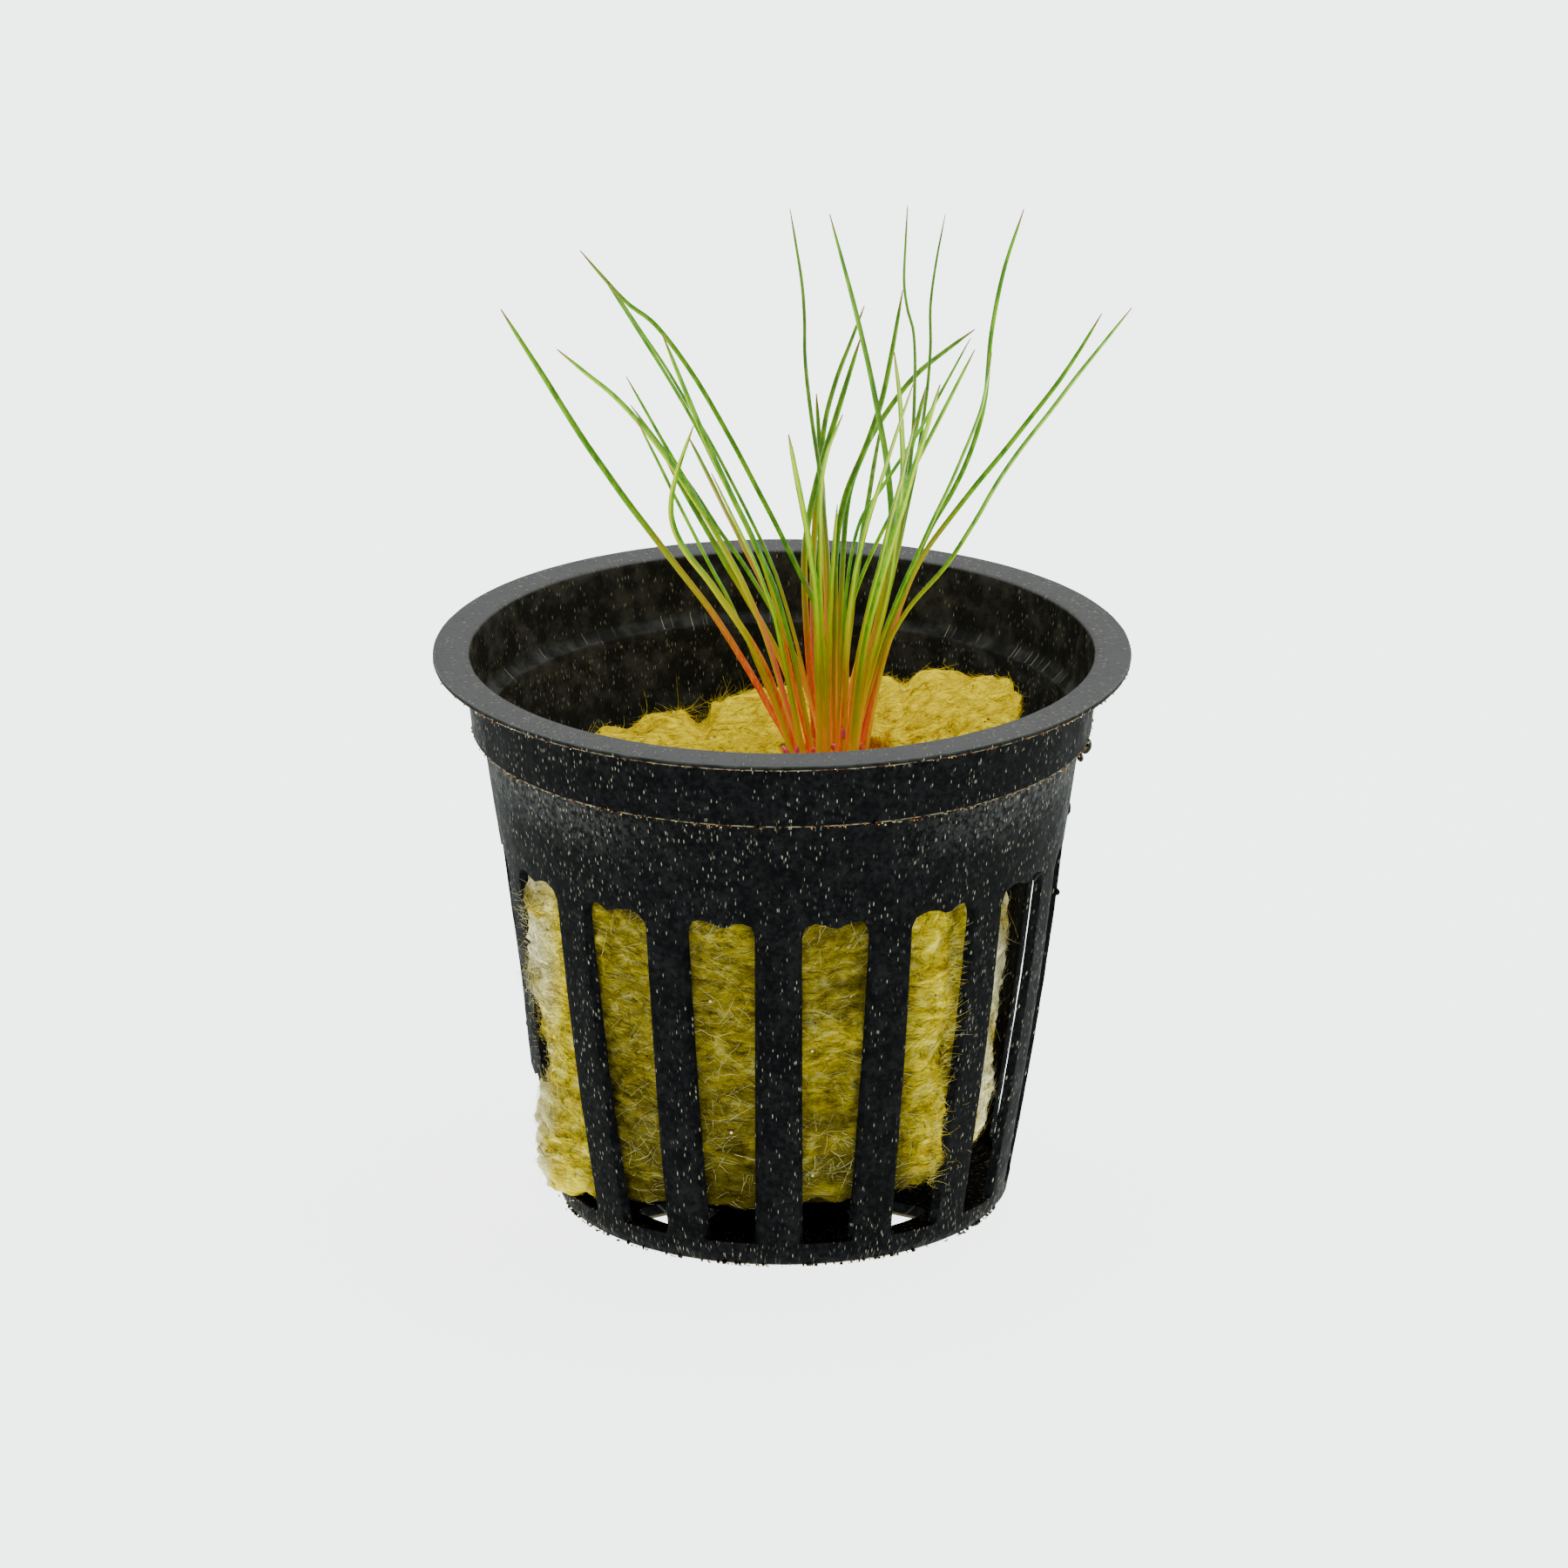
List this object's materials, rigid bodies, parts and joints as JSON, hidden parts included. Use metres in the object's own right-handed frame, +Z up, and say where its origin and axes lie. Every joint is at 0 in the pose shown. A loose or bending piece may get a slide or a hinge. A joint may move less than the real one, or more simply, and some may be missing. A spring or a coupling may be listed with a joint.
{
  "type": "potted needle-leaved aquarium plant",
  "caption": "Tuft of fine needle leaves growing out of yellow rock wool in a tapered black net pot with a wide flat rim, tall slots and a snapped rib.",
  "frame": {"origin": "middle of the pot's foot, on the surface that the pot stands on", "axes": "+Z up along the pot's axis; the pictured side looks along -Y; +X to the right of that side"},
  "size_m": [0.055, 0.055, 0.082],
  "materials": {
    "pot_plastic": "moulded charcoal-black plastic, dusty, with fine pale scuffs and scratches",
    "wool_fibre": "bright yellow mineral fibre, felted, cream on the loose ends and olive in the shade",
    "crown_tissue": "orange-pink young leaf sheaths",
    "leaf_green": "smooth leaf skin, orange-red at the base, green along the blade, purple-brown at the tip"
  },
  "bodies": {
    "root": {"net_pot": "pot_plastic", "rock_wool": "wool_fibre", "crown": "crown_tissue", "leaf_01": "leaf_green", "leaf_02": "leaf_green", "leaf_03": "leaf_green", "leaf_04": "leaf_green", "leaf_05": "leaf_green", "leaf_06": "leaf_green", "leaf_07": "leaf_green", "leaf_08": "leaf_green", "leaf_09": "leaf_green", "leaf_10": "leaf_green", "leaf_11": "leaf_green", "leaf_12": "leaf_green", "leaf_13": "leaf_green", "leaf_14": "leaf_green", "leaf_15": "leaf_green", "leaf_16": "leaf_green", "leaf_17": "leaf_green", "leaf_18": "leaf_green", "leaf_19": "leaf_green", "leaf_20": "leaf_green", "leaf_21": "leaf_green", "leaf_22": "leaf_green", "leaf_23": "leaf_green", "leaf_24": "leaf_green", "leaf_25": "leaf_green", "leaf_26": "leaf_green", "leaf_27": "leaf_green", "leaf_28": "leaf_green", "leaf_29": "leaf_green", "leaf_30": "leaf_green", "leaf_31": "leaf_green", "leaf_32": "leaf_green", "leaf_33": "leaf_green", "leaf_34": "leaf_green", "leaf_35": "leaf_green", "leaf_36": "leaf_green", "leaf_37": "leaf_green"}
  },
  "joints": []
}
